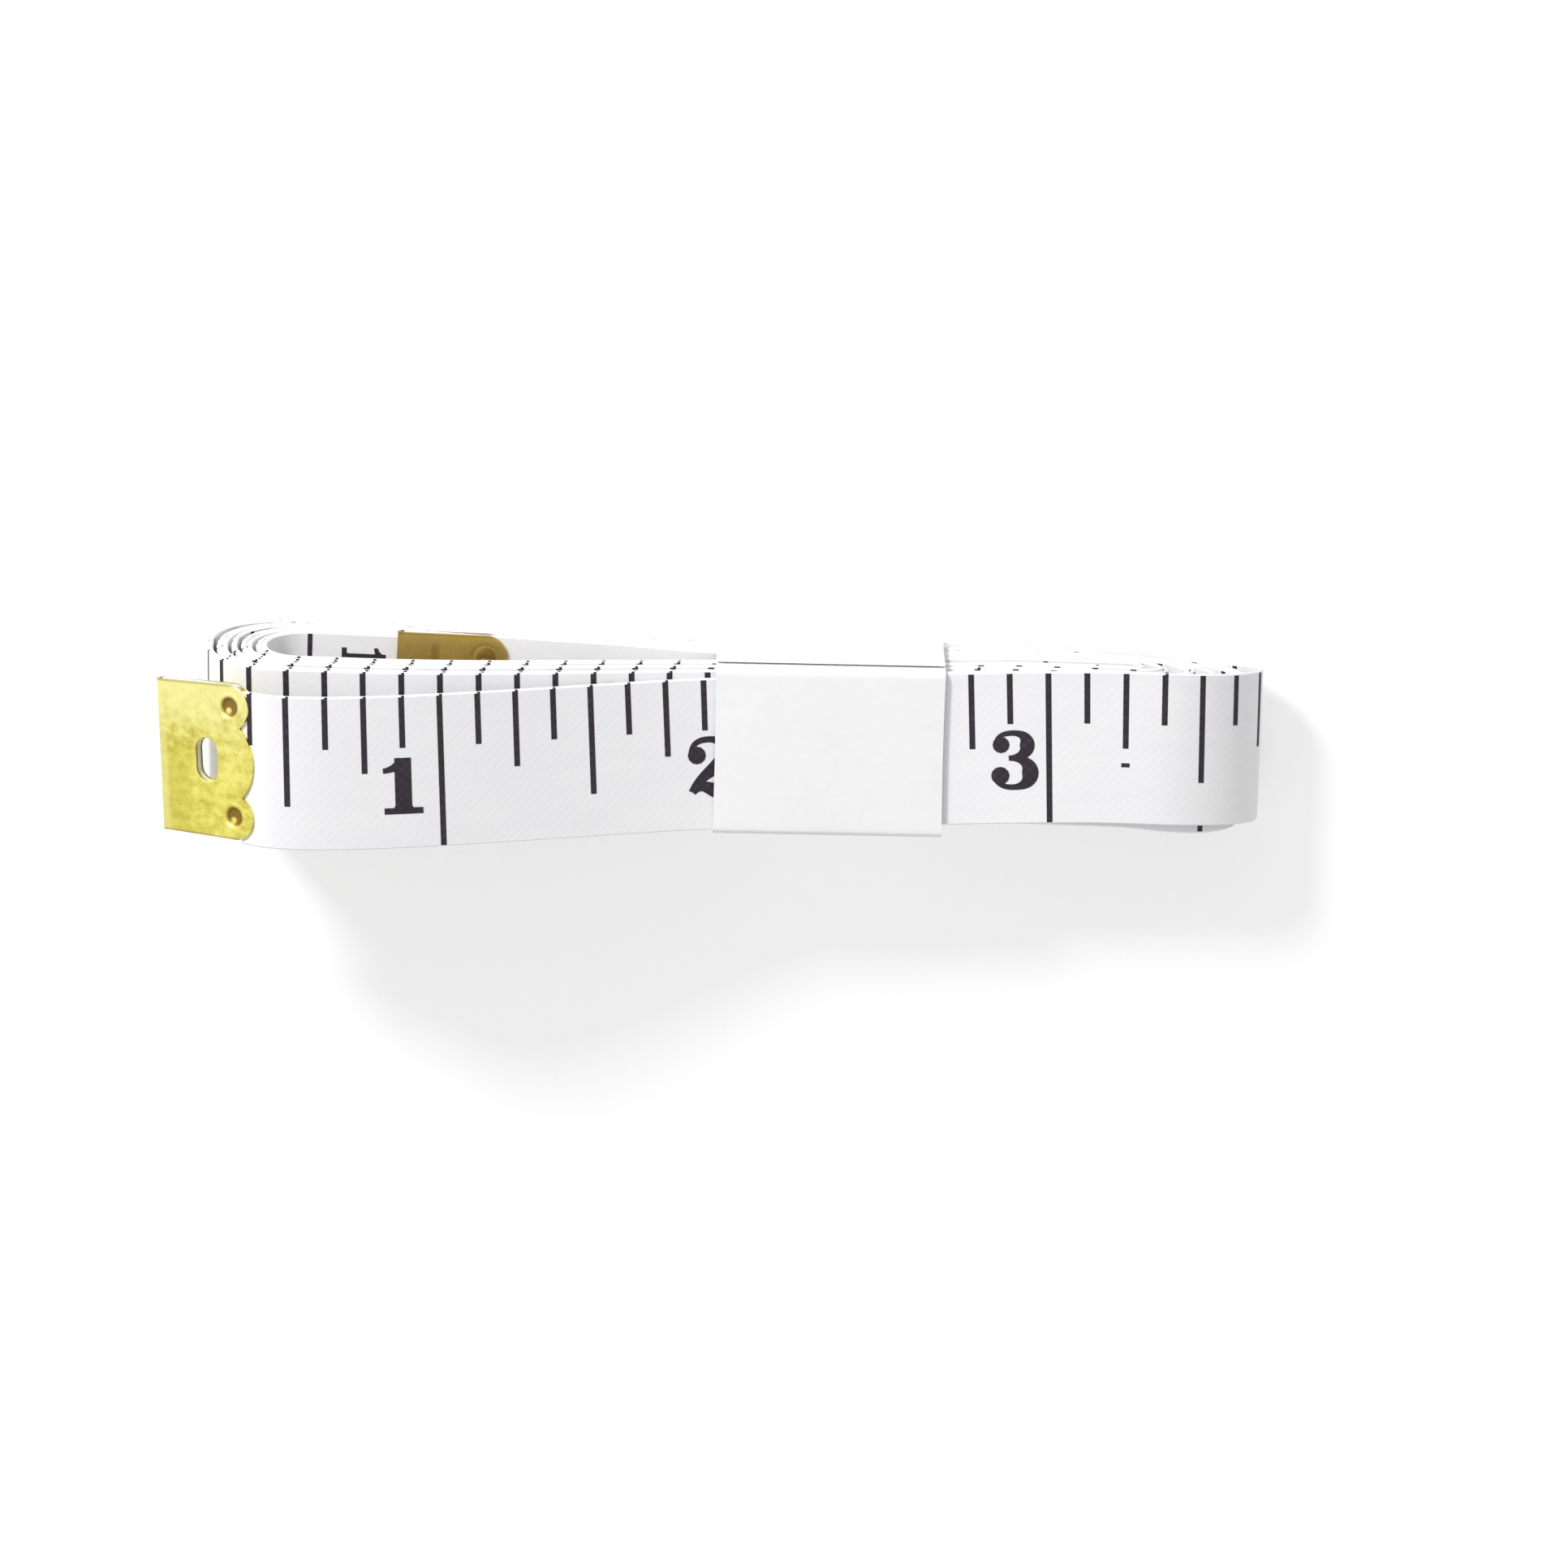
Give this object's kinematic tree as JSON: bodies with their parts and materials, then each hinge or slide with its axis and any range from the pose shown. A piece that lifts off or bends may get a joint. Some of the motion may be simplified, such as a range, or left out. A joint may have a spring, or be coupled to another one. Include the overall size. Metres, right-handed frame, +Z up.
{
  "type": "cloth tape measure",
  "caption": "Coated cloth tape measure wound into a flattened coil, with folded brass end clips and a plain paper band that slides off.",
  "frame": {"origin": "on the table under the middle of the whole object", "axes": "+X along the coil towards its tight end, +Y across the tape towards the edge where the scale's marks start, +Z up from the table"},
  "size_m": [0.0912, 0.0152, 0.0198],
  "materials": {
    "cloth": "white coated cloth with a fine weave and dark printed scale",
    "brass": "bright rolled sheet brass with fine rub marks",
    "paper": "plain matt white paper"
  },
  "bodies": {
    "coil": {"tape_coil": "cloth", "inner_clip": "brass"},
    "free_end": {"tape_free_end": "cloth", "outer_clip": "brass"},
    "band": {"paper_band": "paper"}
  },
  "joints": [
    {"name": "band_slide", "type": "slide", "parent": "coil", "child": "band", "axis": [1, 0, 0], "range_m": [0, 0.047]},
    {"name": "free_end_lift", "type": "hinge", "parent": "coil", "child": "free_end", "pos_m": [0.00007, 0, 0.01162], "axis": [0, 1, 0], "range_deg": [0, 70]}
  ]
}
